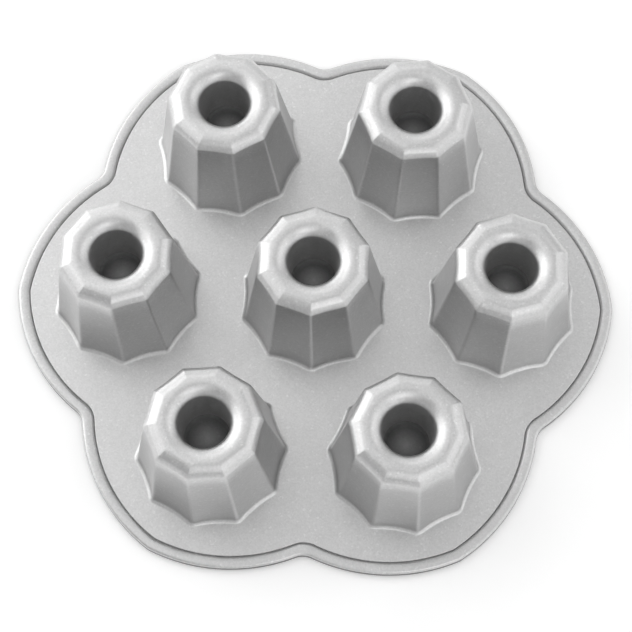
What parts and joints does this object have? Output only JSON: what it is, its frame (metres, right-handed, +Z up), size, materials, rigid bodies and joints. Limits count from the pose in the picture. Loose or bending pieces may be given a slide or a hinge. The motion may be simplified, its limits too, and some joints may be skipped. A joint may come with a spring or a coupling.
{
  "type": "cookie pan",
  "caption": "Cast aluminium baking pan with a flower-shaped deck and fluted tapered cups, each with a hollow core post, lying face down.",
  "frame": {"origin": "on the baking side's plane, under the middle of the centre cup", "axes": "+Z up through the cups to their crowns, with the pan lying face down as it is pictured and stored; +X through the middle of the right-hand cup; +Y to the back, away from the picture's camera. For baking the pan is turned over, so that the crowns stand on the oven rack."},
  "size_m": [0.2938, 0.2706, 0.0599],
  "materials": {
    "cast_aluminium": "satin silver casting with a fine sparkle"
  },
  "bodies": {
    "root": {"rim": "cast_aluminium", "deck_centre": "cast_aluminium", "deck_right": "cast_aluminium", "deck_back_right": "cast_aluminium", "deck_back_left": "cast_aluminium", "deck_left": "cast_aluminium", "deck_front_left": "cast_aluminium", "deck_front_right": "cast_aluminium", "cup_centre": "cast_aluminium", "cup_right": "cast_aluminium", "cup_back_right": "cast_aluminium", "cup_back_left": "cast_aluminium", "cup_left": "cast_aluminium", "cup_front_left": "cast_aluminium", "cup_front_right": "cast_aluminium", "core_well_centre": "cast_aluminium", "core_well_right": "cast_aluminium", "core_well_back_right": "cast_aluminium", "core_well_back_left": "cast_aluminium", "core_well_left": "cast_aluminium", "core_well_front_left": "cast_aluminium", "core_well_front_right": "cast_aluminium"}
  },
  "joints": []
}
